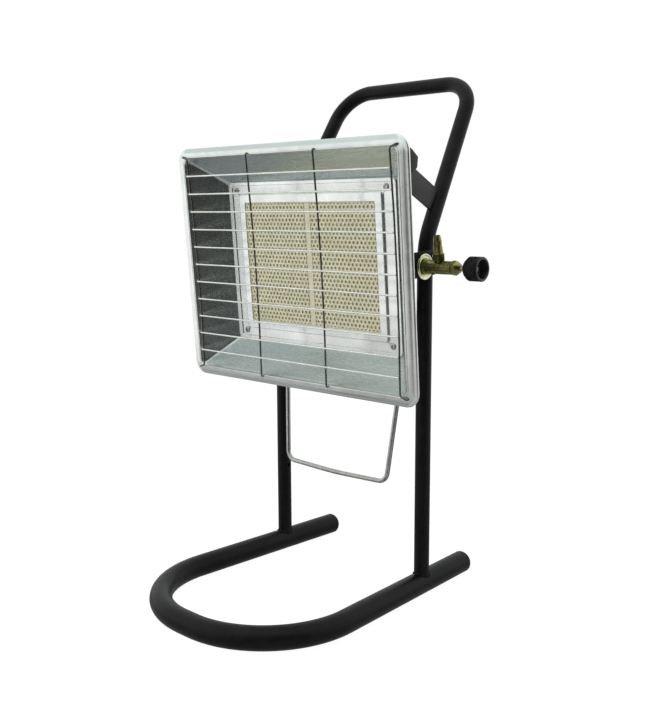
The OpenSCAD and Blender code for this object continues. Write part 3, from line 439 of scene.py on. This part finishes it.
def dishLoops():
    d = dish
    lo, hi = spanOf("reflector")
    halfW, halfH = (hi.x - lo.x) / 2, (hi.z - lo.z) / 2
    b, front = d["beadR"], d["bandFront"]
    loops = []

    def rimLoop(inset, depth):
        # A loop of the rim: the band is narrower at the top and bottom than at the sides
        part = max(0, inset - 2 * b) / (d["bandX"] - 2 * b)
        high = min(inset, 2 * b) + part * (d["bandZ"] - 2 * b)
        corner = d["rimCornerR"] - min(inset, 2 * b) - part * (d["rimCornerR"] - 2 * b - d["openingR"])
        loops.append(roundedLoop(halfW - inset, halfH - high, corner, depth, d["cornerSteps"]))

    def wallLoop(t, corner, off=0.0):
        # A loop of the wall, from the opening at t = 0 to the floor at t = 1
        w = halfW - d["bandX"] + (d["floorHalf"][0] - halfW + d["bandX"]) * t
        h = halfH - d["bandZ"] + (d["floorHalf"][1] - halfH + d["bandZ"]) * t
        loops.append(roundedLoop(w + off, h + off, corner + off, front + d["depth"] * t + off,
                                 d["cornerSteps"]))

    rimLoop(1, b)
    for degrees in d["edgeSteps"]:     # rolled edge, from its back over the outer side to its flat top
        a = math.radians(degrees)
        rimLoop(b * (1 - math.cos(a)), d["edgeDrop"] + front + b * (1 - math.sin(a)))
    rimLoop(2 * b - .1, front + d["edgeDrop"])
    rimLoop(2 * b + .5, front + d["edgeDrop"] - .15)
    rimLoop(2 * b + d["slopeW"] - .5, front + .25 + d["bandTilt"])
    rimLoop(2 * b + d["slopeW"], front + d["bandTilt"])
    lip = d["lipRise"]     # a fine groove, then a low lip round the opening
    for inset, rise in zip(d["lipBack"], (0, -.35, -.3, lip * .7, lip, lip * .5, -.4)):
        rimLoop(d["bandX"] - inset, front - rise)
    crease, floorR = d["creaseR"], d["floorCornerR"]
    wall = ((.05, 6.5), (.1, 4), (.16, crease), (.4, crease), (.7, crease + .9), (1, floorR))
    for t, corner in wall:
        wallLoop(t, corner)
    px, pz = d["pocketHalf"]
    floorY = front + d["depth"]
    for y in (floorY, floorY + d["sheet"]):
        loops.append(roundedLoop(px, pz, 1.3, y, d["cornerSteps"]))
    for t, corner in reversed(wall):
        wallLoop(t, corner, d["sheet"] * .8)
    rimLoop(d["bandX"] - 1.2, front + d["sheet"] + .3)
    rimLoop(2 * b + d["slopeW"], front + d["sheet"] + d["bandTilt"])
    rimLoop(2 * b, front + d["sheet"] + d["edgeDrop"])
    return loops


reflectorSheet = closedPiece("reflectorSheet", *ringFaces(dishLoops()), headPlace, galvSheet, dishSheet)
openingX = spanOf("reflector")[1].x - dish["bandX"]
# The walls and floor inside the opening are drawn smoother than the rim
for f in reflectorSheet.data.polygons:
    c = toHead @ f.center
    inDish = dish["bandFront"] + .5 < c.y < dish["bandFront"] + dish["depth"] + .1
    if inDish and (turnToHead @ f.normal).y < 0:
        f.material_index = int(abs(c.x) < openingX)
takePlace("reflector", "head", reflectorSheet)
print("reflector made")

bezelSizes = {"window": (97.6, 68.5), "frame": 9.4, "lip": (6, 3.4), "lipRise": 1.4, "step": 2.8, "sheet": 1,
              "channelRise": .3, "fold": .9, "foldSteps": ((1.15, 0), (1, 0), (.45, .16), (.1, .55), (0, 1)),
              "cornerR": 5.3, "frameR": 3, "windowR": 1, "ease": .3, "cornerSteps": 7}


def bezelLoops():
    s = bezelSizes
    lo, hi = spanOf("bezel")
    w, h = (hi.x - lo.x) / 2, (hi.z - lo.z) / 2
    back, e, fold = hi.y, s["ease"], s["fold"]
    front = back - s["sheet"]
    raised, lip, channel = front - s["step"], front - s["lipRise"], front - s["channelRise"]
    wx, wz = s["window"]
    fx, fz = wx + s["frame"], wz + s["frame"]
    lx, lz = w - s["lip"][0], h - s["lip"][1]
    loops = []

    def addLoops(r, *rows):
        for x, z, y in rows:
            loops.append(roundedLoop(x, z, r, y, s["cornerSteps"]))

    addLoops(s["windowR"], (wx, wz, raised + s["sheet"]), (wx, wz, raised + e), (wx + e, wz + e, raised))
    folded = [(fx - a * fold, fz - a * fold, raised + drop * fold) for a, drop in s["foldSteps"]]
    addLoops(s["frameR"], *folded)
    addLoops(s["frameR"], (fx + .1, fz + .1, channel - .1), (fx + .25, fz + .25, channel),
             (lx - .7, lz - .4, channel), (lx - .3, lz - .2, channel - e), (lx, lz, lip + e),
             (lx + e, lz + e / 2, lip))
    addLoops(s["cornerR"] - e, (w - e, h - e, lip))
    addLoops(s["cornerR"], (w, h, lip + e), (w, h, back - .1))
    inner = (fx - s["sheet"], fz - s["sheet"])
    addLoops(2, (*inner, back - .1), (*inner, raised + s["sheet"]))
    return loops


bezelPlate = closedPiece("bezelPlate", *ringFaces(bezelLoops()), headPlace, bezelSheet, sharpAngle=30)
takePlace("bezel", "head", bezelPlate)
print("bezel made")

screw = {"HeadRadius": 3.8, "HeadHeight": 2.2, "ShankRadius": 2.0, "ShankLength": 10.0, "SlotWidth": 1.1,
         "SlotLength": 4.4, "SlotDepth": 1.7, "Metal": zincPlate}


def screwTree():
    # A cross-recessed pan head with its shank, on each seed point, facing the room: a disc of .55 of
    # the head's height carries two narrower steps
    t, g = ruleTree("crossScrews", **screw)
    height = g["HeadHeight"]
    body = addNode(t, "GeometryNodeMeshCylinder", {"Vertices": 24, "Radius": g["HeadRadius"],
                                                   "Depth": times(t, height, .55)})
    dome, top = body.outputs["Mesh"], body.outputs["Top"]
    for rise, scale in ((.28, .86), (.17, .62)):
        ex = addNode(t, "GeometryNodeExtrudeMesh", {"Mesh": dome, "Selection": top,
                                                    "Offset Scale": times(t, height, rise)})
        ex.inputs["Individual"].default_value = False
        top = ex.outputs["Top"]
        narrowed = {"Geometry": ex.outputs["Mesh"], "Selection": top, "Scale": scale}
        dome = addNode(t, "GeometryNodeScaleElements", narrowed).outputs[0]
    cut = addNode(t, "GeometryNodeMeshBoolean", {0: dome}, operation="DIFFERENCE")
    for first, second in (("SlotLength", "SlotWidth"), ("SlotWidth", "SlotLength")):
        size = vector(t, g[first], g[second], times(t, g["SlotDepth"], 2))
        bar = addNode(t, "GeometryNodeMeshCube", {"Size": size}).outputs["Mesh"]
        t.links.new(moved(t, bar, Translation=vector(t, z=times(t, height, .725))), cut.inputs["Mesh 2"])
    shank = addNode(t, "GeometryNodeMeshCylinder", {"Vertices": 16, "Radius": g["ShankRadius"],
                                                    "Depth": g["ShankLength"]})
    down = vector(t, z=times(t, g["ShankLength"], -.5))
    whole = addNode(t, "GeometryNodeJoinGeometry")
    for part in (cut.outputs[0], moved(t, shank.outputs["Mesh"], Translation=down)):
        t.links.new(part, whole.inputs[0])
    raised = vector(t, z=times(t, height, .275))
    whole = moved(t, whole.outputs[0], Translation=raised, Rotation=(math.pi / 2, 0, 0))
    turn = randomVector(t, (0, -1.2, 0), (0, 1.2, 0), 4)
    links = {"Points": g["Seed Geometry"], "Instance": whole, "Rotation": turn}
    closeTree(t, addNode(t, "GeometryNodeInstanceOnPoints", links).outputs[0], (g["Metal"], None))
    return t


lo, hi = spanOf("bezel_screws")
screwX, screwZ = hi.x - screw["HeadRadius"], hi.z - screw["HeadRadius"]
screwY = lo.y + screw["HeadHeight"]     # where the heads sit on the bezel
screwSeats = [(sx * screwX, screwY, sz * screwZ) for sx in (-1, 1) for sz in (-1, 1)]
bezelScrews = growPiece(screwTree(), "bezelScrewSet", {**screw, "ShankLength": hi.y - screwY}, headPlace,
                        screwSeats)
takePlace("bezel_screws", "head", bezelScrews)
print("screws made")

# Hole is the darker finish of the dimples and holes, painted shade in the recesses
plaque = {"Pitch": 5.5, "RowPitch": 4.66, "Columns": 17, "Rows": 30, "Dimple": 1.98, "Taper": .84,
          "DimpleDepth": .35, "HoleDepth": 1.0, "Face": ceramicBisque, "Hole": ceramicHoleShade}
tray = {"seamMargin": 1.9, "inset": 3.6, "under": .8}


def plaqueTree():
    # Hexagon cells in staggered rows, each with a dimple that runs into a hole
    t, g = ruleTree("plaqueHoles", **plaque)
    cellR = calc(t, "DIVIDE", g["Pitch"], math.sqrt(3))
    cell = addNode(t, "GeometryNodeMeshCircle", {"Vertices": 6, "Radius": cellR}, fill_type="NGON").outputs[0]
    cell = moved(t, cell, Rotation=(0, 0, math.pi / 6))
    inside, deepParts = None, []
    for scale, depth in ((calc(t, "DIVIDE", g["Dimple"], cellR), 0.0),
                         (g["Taper"], times(t, g["DimpleDepth"], -1)), (1.0, times(t, g["HoleDepth"], -1))):
        ex = addNode(t, "GeometryNodeExtrudeMesh", {"Mesh": cell, "Offset Scale": depth, "Individual": False})
        if inside is not None:
            t.links.new(inside, ex.inputs["Selection"])
            deepParts.append(ex.outputs["Side"])
        inside = ex.outputs["Top"]
        narrowed = {"Geometry": ex.outputs["Mesh"], "Selection": inside, "Scale": scale}
        cell = addNode(t, "GeometryNodeScaleElements", narrowed).outputs[0]
    # The dimple walls and holes are kept as deep and take the Hole finish, painted shade in the recesses
    deep = inside
    for part in deepParts:
        deep = addNode(t, "FunctionNodeBooleanMath", {0: deep, 1: part}, operation="OR").outputs[0]
    kept = {"Geometry": cell, "Name": "deep", "Value": deep}
    cell = addNode(t, "GeometryNodeStoreNamedAttribute", kept, data_type="BOOLEAN", domain="FACE").outputs[0]
    squash = calc(t, "DIVIDE", g["RowPitch"], times(t, cellR, 1.5))
    cell = moved(t, cell, Scale=vector(t, 1.0, squash, 1.0))
    row, column, count = lattice(t, g["Columns"], g["Rows"])
    made = placedOn(t, count, vector(t, times(t, column, g["Pitch"]), times(t, row, g["RowPitch"])), cell)
    made = addNode(t, "GeometryNodeRealizeInstances", {0: made}).outputs[0]
    made = addNode(t, "GeometryNodeMergeByDistance", {"Geometry": made, "Distance": .01}).outputs[0]
    stored = addNode(t, "GeometryNodeInputNamedAttribute", {"Name": "deep"}, data_type="BOOLEAN").outputs[0]
    closeTree(t, made, (g["Face"], None), (g["Hole"], stored))
    return t


def trayPoints(lo, hi, inset, deepY):
    # Block with a shallow recess in its front, behind the perforated face
    rings = [[(lo.x + d, y, lo.z + d), (hi.x - d, y, lo.z + d), (hi.x - d, y, hi.z - d),
              (lo.x + d, y, hi.z - d)] for d, y in ((0, lo.y + .05), (inset, lo.y + .05), (inset, deepY),
                                                    (0, hi.y))]
    points = [p for ring in rings for p in ring]
    faces = [(8, 9, 10, 11), (15, 14, 13, 12)]
    for a, b in ((0, 4), (4, 8), (12, 0)):
        faces += [(a + i, a + (i + 1) % 4, b + (i + 1) % 4, b + i) for i in range(4)]
    return points, faces


plaqueRule = plaqueTree()
faceRoom = Matrix.Rotation(math.radians(90), 4, "X")     # the lattice's z turned to the room
for side, name in ((-1, "left_plaque"), (1, "right_plaque")):
    pitch = plaque["Pitch"]
    lo, hi = spanOf(name)
    first = abs(lo.x if side > 0 else hi.x) + tray["seamMargin"] + pitch / 2
    startX = first if side > 0 else -first - (plaque["Columns"] - .5) * pitch
    startZ = -(plaque["Rows"] - 1) / 2 * plaque["RowPitch"]
    facePlace = headPlace @ Matrix.Translation((startX, lo.y, startZ)) @ faceRoom
    face = growPiece(plaqueRule, name + "Face", plaque, facePlace)
    if side > 0:
        lo.x = 0.0
    else:
        hi.x = 0.0
    deepY = lo.y + plaque["DimpleDepth"] + plaque["HoleDepth"] + tray["under"]
    block = closedPiece(name + "Body", *trayPoints(lo, hi, tray["inset"], deepY), headPlace, ceramicBisque)
    takePlace(name, "head", face, block)
print("plaques made")

weld = {"spot": 1.25, "seam": 1.7, "seamPitch": 1.5, "flat": .7, "wirePitch": 20.4, "wirePast": .4,
        "postR": 8.5, "holeToPost": 7.75, "tubeR": 12.5}


def beadTree():
    # A small flattened weld bead on each seed point, each a little different
    t, g = ruleTree("weldBeads", Size=weld["spot"], Flat=weld["flat"], Metal=weldSteel)
    ball = addNode(t, "GeometryNodeMeshIcoSphere", {"Radius": g["Size"], "Subdivisions": 2}).outputs["Mesh"]
    ball = moved(t, ball, Scale=vector(t, 1.0, 1.0, g["Flat"]))
    turn = randomVector(t, (0, 0, 0), (6.3, 6.3, 6.3), 3)
    size = randomVector(t, (.85, .85, .85), (1.12, 1.12, 1.12), 7)
    links = {"Points": g["Seed Geometry"], "Instance": ball, "Rotation": turn, "Scale": size}
    closeTree(t, addNode(t, "GeometryNodeInstanceOnPoints", links).outputs[0], (g["Metal"], None))
    return t


def guardJoints():
    # Where the cross wires lie on the upright wires, in the head's axes
    hi = spanOf("guard_crosswires")[1]
    wires = {}
    for v in nodes["guard_crosswires"].data.vertices:
        p = toHead @ v.co
        wires.setdefault(round(p.z / weld["wirePitch"]), []).append(p)
    columns = [k * (hi.x - weld["wirePast"]) / 1.5 for k in (-1.5, -.5, .5, 1.5)]
    joints = []
    for members in wires.values():
        middle = sum(p.z for p in members) / len(members)
        deep = max(p.y for p in members)
        joints += [(x, deep, middle) for x in columns]
    return joints


def footSeam(post):
    # Points round the foot of an upright, where it is welded on the floor tube
    postR, tubeR = weld["postR"], weld["tubeR"]
    n = int(2 * math.pi * postR / weld["seamPitch"])
    ring = []
    for k in range(n):
        a = 2 * math.pi * k / n
        x = postR * math.cos(a)
        ring.append((post.x + x, post.y + postR * math.sin(a), tubeR + math.sqrt(tubeR ** 2 - x ** 2)))
    return ring


def beads(name, size, material, place, points, body):
    sizes = {"Size": size, "Flat": weld["flat"], "Metal": material}
    piece = growPiece(beadRule, name, sizes, place, points)
    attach(piece, body)


beadRule = beadTree()
beads("guardWelds", weld["spot"], weldSteel, headPlace, guardJoints(), "head")
millimetres = Matrix.Scale(0.001, 4)
holes = {m["name"]: Vector(m["pos_m"]) * 1000 for m in frame["record"]["mounts"]}
for side, name in ((-1, "left"), (1, "right")):
    post = holes[name + "_upright_hole"] + Vector((side * weld["holeToPost"], 0, 0))
    beads(name + "FootWeld", weld["seam"], blackCoat, millimetres, footSeam(post), "stand")
print("welds made")


def turnedPiece(name, profile, rounds, place, *finishes, sharpAngle=38):
    # A closed turned piece from (radius, height) pairs: a solid one starts and ends on the axis,
    # and a ring never meets it
    solid = profile[0][0] == 0
    points, faces = [(0, 0, profile[0][1]), (0, 0, profile[-1][1])] if solid else [], []
    first = len(points)
    rings = profile[1:-1] if solid else profile
    turns = [2 * math.pi * i / rounds for i in range(rounds)]
    for r, z in rings:
        points += [(r * math.cos(a), r * math.sin(a), z) for a in turns]
    for i in range(rounds):
        j = (i + 1) % rounds
        for k in range(len(rings) - (1 if solid else 0)):
            a, b = first + k * rounds, first + (k + 1) % len(rings) * rounds
            faces.append((a + i, a + j, b + j, b + i))
        if solid:
            last = first + (len(rings) - 1) * rounds
            faces += [(0, first + i, first + j), (1, last + i, last + j)]
    return closedPiece(name, points, faces, place, *finishes, sharpAngle=sharpAngle)


seatWasher = {"rounds": 64, "rings": ((13.35, .5), (13.7, .9), (13.7, 1.7), (13.3, 2), (12.5, 2),
                                      (12.0, 1.6), (11.4, 1.05), (10.5, .95), (10.2, 1.2), (9.9, 1.75),
                                      (9.3, 1.75), (9.0, 1.3), (8.7, .9), (6.2, .9), (6.2, 0), (13.3, 0))}
washerPiece = turnedPiece("seatWasherDished", seatWasher["rings"], seatWasher["rounds"],
                          axisSeat("seat_washer")[0], brassWasher, sharpAngle=45)
takePlace("seat_washer", "head", washerPiece)
print("seat washer made")

knob = {"endR": 6.2, "domeR": 6.5, "domeLong": 8, "domeFrom": 8, "domeSteps": 7, "taper": .35, "cupR": 9.65,
        "cupDeep": 9, "ease": .9, "faceRing": .8, "rounds": 48}
studs = {"Columns": 40, "Rows": 7, "Radius": 12.7, "Rise": .45, "Width": 1.7, "Length": 13.6, "Start": 4.8,
         "Plastic": knobPlastic}


def knurlTree():
    # Small studs in staggered rows round a turned body
    t, g = ruleTree("knurlStuds", **studs)
    cone = {"Vertices": 4, "Radius Top": times(t, g["Width"], .15),
            "Radius Bottom": times(t, g["Width"], .62), "Depth": times(t, g["Rise"], 2)}
    stud = addNode(t, "GeometryNodeMeshCone", cone).outputs["Mesh"]
    row, column, count = lattice(t, g["Columns"], g["Rows"])
    angle = times(t, column, calc(t, "DIVIDE", 2 * math.pi, g["Columns"]))
    reach = calc(t, "SUBTRACT", g["Radius"], times(t, g["Rise"], 2))
    along = calc(t, "MULTIPLY_ADD", calc(t, "ADD", row, .5), calc(t, "DIVIDE", g["Length"], g["Rows"]),
                 g["Start"])
    at = vector(t, times(t, calc(t, "COSINE", angle), reach), times(t, calc(t, "SINE", angle), reach), along)
    placed = placedOn(t, count, at, stud, Rotation=vector(t, 0.0, math.pi / 2, angle))
    closeTree(t, placed, (g["Plastic"], None))
    return t


def knobProfile(length):
    k = knob
    radius = studs["Radius"]
    core = radius - studs["Rise"]
    span = 90 - k["domeFrom"]
    turns = [math.radians(k["domeFrom"] + span * i / k["domeSteps"]) for i in range(k["domeSteps"] + 1)]
    wide = core - k["taper"]
    dome = [(wide - k["domeR"] * (1 - math.sin(a)), k["domeLong"] * (1 - math.cos(a))) for a in turns]
    cup, floor = k["cupR"], length - k["cupDeep"]
    cupped = [(core, length - 1.4), (radius - .1, length - 1.1), (radius - .1, length - .7),
              (radius - k["ease"], length), (cup + k["faceRing"], length), (cup + .3, length - .2),
              (cup, length - .6), (cup - .2, floor + .4), (cup - .6, floor), (0, floor)]
    return [(0, 0), (k["endR"] - .3, 0)] + dome + cupped


knobSeat, knobLength = axisSeat("gas_knob")
knobBody = turnedPiece("gasKnobBody", knobProfile(knobLength), knob["rounds"], knobSeat, knobPlastic,
                       knobFaceLit, sharpAngle=50)
# Faces of the flat outer face ring take the lighter face finish, a painted highlight
faceX = spanOf("gas_knob")[1].x - 1
for f in knobBody.data.polygons:
    if (turnToHead @ f.normal).normalized().x > .9 and (toHead @ f.center).x > faceX:
        f.material_index = 1
knobStuds = growPiece(knurlTree(), "gasKnobStuds", studs, knobSeat, sharpAngle=20)
takePlace("gas_knob", "gas_control", knobBody, knobStuds)
print("gas knob made")

softEdges = {"left_strap": (.0005, strapLitCoat), "right_strap": (.0005, strapLitCoat),
             "left_clamp_knob": (.0007, knobPlastic), "right_clamp_knob": (.0007, knobPlastic),
             "valve_bracket": (.0004, plateCoat), "left_ear": (.0004, plateCoat),
             "right_ear": (.0004, plateCoat), "gland_nut": (.00025, brassTurned)}
for name, (width, material) in softEdges.items():
    softEdged(name, width, material)
print("edges softened")


def stagePlane(name, size, place, material):
    h = size / 2
    mesh = bpy.data.meshes.new(name)
    corners = ((-h, -h, 0), (h, -h, 0), (h, h, 0), (-h, h, 0))
    mesh.from_pydata([place @ Vector(p) for p in corners], [], [(0, 1, 2, 3)])
    mesh.materials.append(material)
    showPiece(mesh, name)


# The floor's near level and its dark level are painted shade in what metals see mirrored in the floor
studio = {"floorShown": .9, "floorGlow": 1.08, "floorShadowNear": .45, "floorFar": 1.08, "floorReach": (.7, 1.35),
          "floorShadeLevel": .05, "floorEnd": (.45, 1.1), "floorSize": 40, "floorDrop": .0004, "dim": .42,
          "darkSide": (.74, -.66, .08), "darkInner": 28, "darkOuter": 54, "darkLevel": .055}


def towardsDark(tree, way):
    side = Vector(studio["darkSide"]).normalized()
    return addNode(tree, "ShaderNodeVectorMath", {0: way, 1: side}, operation="DOT_PRODUCT").outputs["Value"]


def floorFinish():
    m = bpy.data.materials.new("paleFloor")
    m.use_nodes = True
    t = m.node_tree
    dull = t.nodes["Principled BSDF"]
    dull.inputs["Base Color"].default_value = (.9, .9, .9, 1)
    dull.inputs["Roughness"].default_value = .9
    place = addNode(t, "ShaderNodeTexCoord").outputs["Object"]
    # For glossy and transmission rays the floor glows, and that glow holds painted shade: dimmer near the
    # middle as a painted shadow round where the piece stands, and fading almost to black towards the dark
    # screen's side
    reach = addNode(t, "ShaderNodeVectorMath", {0: place}, operation="LENGTH").outputs["Value"]
    paintedShadow = ranged(t, reach, *studio["floorReach"], studio["floorShadowNear"], studio["floorFar"])
    mirroredWithPaintedShade = ranged(t, towardsDark(t, place), *studio["floorEnd"], paintedShadow, studio["floorShadeLevel"],
                      interpolation_type="SMOOTHSTEP")
    path = addNode(t, "ShaderNodeLightPath").outputs
    camera = path["Is Camera Ray"]
    shown = times(t, camera, studio["floorGlow"])
    strength = calc(t, "MULTIPLY_ADD", calc(t, "SUBTRACT", 1.0, camera), mirroredWithPaintedShade, shown)
    glow = addNode(t, "ShaderNodeEmission", {"Color": (1, 1, 1, 1), "Strength": strength}).outputs[0]
    mirrors = calc(t, "MAXIMUM", path["Is Glossy Ray"], path["Is Transmission Ray"])
    share = calc(t, "MULTIPLY_ADD", camera, studio["floorShown"], mirrors)
    mix = addNode(t, "ShaderNodeMixShader", {0: share, 1: dull.outputs[0], 2: glow})
    t.links.new(mix.outputs[0], t.nodes["Material Output"].inputs["Surface"])
    return m


def studioWorld():
    # White all round, dim as a lamp, with a dark screen on the side that faces the room
    world = bpy.data.worlds.new("studio")
    bpy.context.scene.world = world
    world.use_nodes = True
    t = world.node_tree
    way = addNode(t, "ShaderNodeTexCoord").outputs["Generated"]
    outer, inner = (math.cos(math.radians(studio[k])) for k in ("darkOuter", "darkInner"))
    screen = ranged(t, towardsDark(t, way), outer, inner, 1.0, studio["darkLevel"],
                    interpolation_type="SMOOTHSTEP")
    mirror = addNode(t, "ShaderNodeBackground", {"Color": (.96, 1, .98, 1), "Strength": screen}).outputs[0]
    dim = addNode(t, "ShaderNodeBackground", {"Color": (1, 1, .98, 1), "Strength": studio["dim"]}).outputs[0]
    white = addNode(t, "ShaderNodeBackground", {"Color": (1, 1, 1, 1), "Strength": 1.0}).outputs[0]
    path = addNode(t, "ShaderNodeLightPath").outputs
    shown = calc(t, "MAXIMUM", path["Is Glossy Ray"], path["Is Transmission Ray"])
    lit = addNode(t, "ShaderNodeMixShader", {0: shown, 1: dim, 2: mirror}).outputs[0]
    seen = addNode(t, "ShaderNodeMixShader", {0: path["Is Camera Ray"], 1: lit, 2: white}).outputs[0]
    t.links.new(seen, t.nodes["World Output"].inputs["Surface"])


def softbox(name, spot, aim, width, height, power):
    light = bpy.data.lights.new(name, "AREA")
    light.shape = "RECTANGLE"
    light.size, light.size_y, light.energy = width, height, power
    o = bpy.data.objects.new(name, light)
    o.location = spot
    o.rotation_euler = (Vector(aim) - Vector(spot)).to_track_quat("-Z", "Y").to_euler()
    o.visible_glossy = False
    bpy.context.scene.collection.objects.link(o)


stagePlane("floor", studio["floorSize"], Matrix.Translation((0, 0, -studio["floorDrop"])), floorFinish())
studioWorld()
softbox("keyBox", spot=(-1.3, -2.0, 1.7), aim=(0, 0, .3), width=1.8, height=1.8, power=38)
softbox("topBox", spot=(.1, .1, 2.4), aim=(0, 0, .3), width=2.0, height=2.0, power=30)
print("studio lit")

view = {"yaw": 43.02, "pitch": 8.73, "roll": -.27, "lens": 47.99, "place": (.71445, -.749237, .42765)}


def viewCamera():
    yaw, pitch, roll = (math.radians(view[k]) for k in ("yaw", "pitch", "roll"))
    cam = bpy.data.objects.new("camera", bpy.data.cameras.new("camera"))
    cam.data.lens, cam.data.sensor_width, cam.data.clip_start = view["lens"], 36, .01
    turn = Matrix.Rotation(yaw, 4, "Z") @ Matrix.Rotation(math.pi / 2 - pitch, 4, "X")
    turn = turn @ Matrix.Rotation(roll, 4, "Z")
    cam.matrix_world = Matrix.Translation(view["place"]) @ turn
    bpy.context.scene.collection.objects.link(cam)
    bpy.context.scene.camera = cam


viewCamera()
bpy.context.scene.view_settings.view_transform = "Standard"
bpy.context.view_layer.update()
